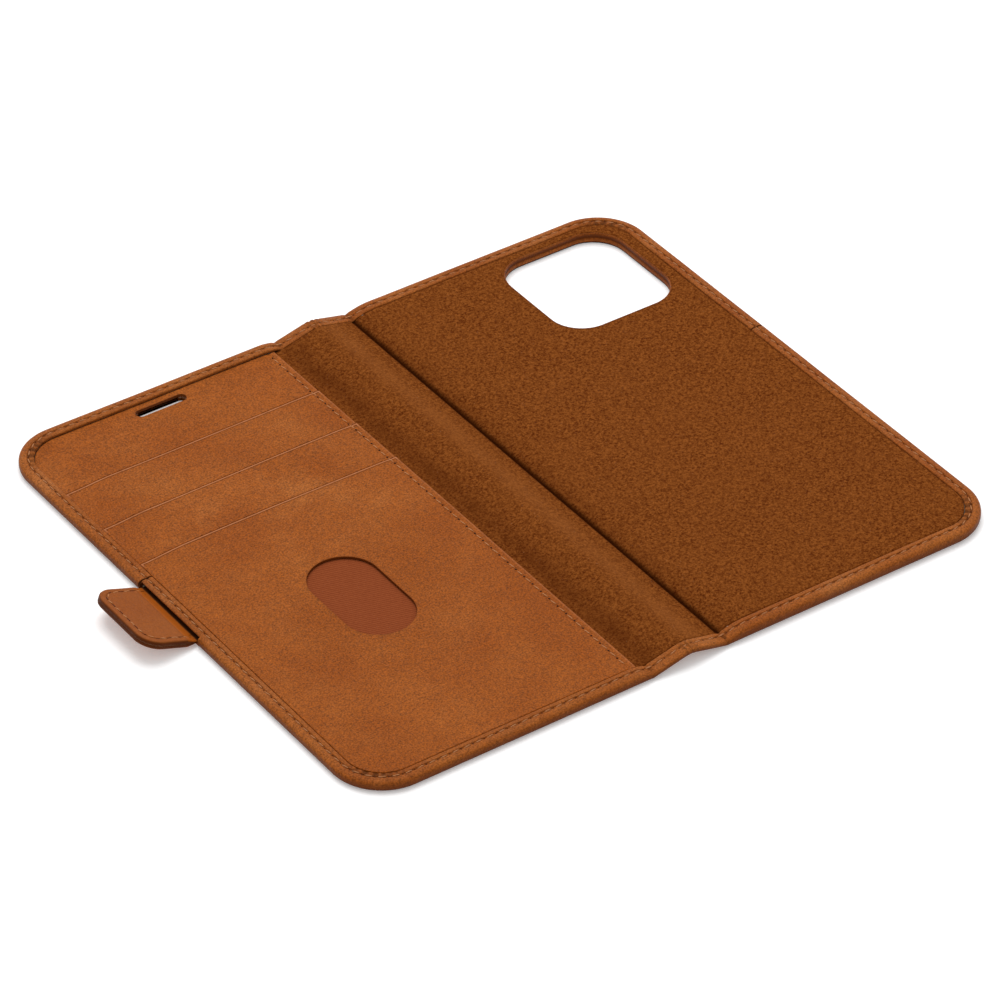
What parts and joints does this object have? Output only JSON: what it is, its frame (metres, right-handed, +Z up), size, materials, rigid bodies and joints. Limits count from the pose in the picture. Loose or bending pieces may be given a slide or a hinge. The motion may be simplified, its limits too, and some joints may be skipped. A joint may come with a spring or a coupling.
{
  "type": "phone folio case",
  "caption": "Folding leather folio case for a large phone, open flat, with stacked card pockets, a camera opening, a tented spine and a magnetic closing tab.",
  "frame": {"origin": "under the middle of the open case, on the surface it lies on", "axes": "+X from the front cover across the spine to the back cover, +Y to the phone top end, +Z up"},
  "size_m": [0.1936, 0.158, 0.0066],
  "materials": {
    "outer_leather": "tan grained leather, satin, with a slightly lighter turned edge",
    "card_leather": "tan smooth leather with a fine matt grain",
    "rim_leather": "tan leather band, burnished",
    "fleece": "brown microfibre, matt and mottled",
    "pocket_cloth": "red-brown ribbed lining cloth",
    "thread": "tan sewing thread",
    "board": "grey-brown stiffening board",
    "magnet": "nickel-plated magnet",
    "steel": "plain steel strip"
  },
  "bodies": {
    "back_cover": {"back_outer_leather": "outer_leather", "back_board": "board", "back_lining": "fleece", "back_camera_rim": "rim_leather", "back_holder_magnets": "magnet", "back_keeper_plate": "steel", "back_hem_thread": "thread"},
    "spine_rear": {"spine_rear_leather": "outer_leather", "spine_rear_lining": "fleece", "spine_rear_thread": "thread"},
    "spine_front": {"spine_front_leather": "outer_leather", "spine_front_lining": "fleece", "spine_front_thread": "thread"},
    "front_cover": {"front_outer_leather": "outer_leather", "front_board": "board", "front_lining": "fleece", "card_panel_top": "card_leather", "card_strip_1": "card_leather", "card_strip_2": "card_leather", "card_panel_main": "card_leather", "pocket_cloth_1": "pocket_cloth", "pocket_cloth_2": "pocket_cloth", "pocket_cloth_3": "pocket_cloth", "card_seam_thread": "thread", "front_hem_thread": "thread", "tab_tongue": "card_leather"},
    "tab": {"tab_strip": "card_leather", "tab_inner_leather": "card_leather", "tab_outer_leather": "outer_leather", "tab_stiffener": "board", "tab_magnets": "magnet", "tab_thread": "thread"}
  },
  "joints": [
    {"name": "rear_fold", "type": "hinge", "parent": "back_cover", "child": "spine_rear", "pos_m": [0.01598, 0, 0.0007], "axis": [0, 1, 0], "range_deg": [-90, 76]},
    {"name": "ridge_fold", "type": "hinge", "parent": "spine_rear", "child": "spine_front", "pos_m": [0.00558, 0, 0.00329], "axis": [0, 1, 0], "range_deg": [0, 28]},
    {"name": "front_fold", "type": "hinge", "parent": "spine_front", "child": "front_cover", "pos_m": [-0.00482, 0, 0.0007], "axis": [0, 1, 0], "range_deg": [-90, 76]},
    {"name": "tab_fold", "type": "hinge", "parent": "front_cover", "child": "tab", "pos_m": [-0.08412, 0.0026, 0.00115], "axis": [0, 1, 0], "range_deg": [-20, 70]}
  ]
}
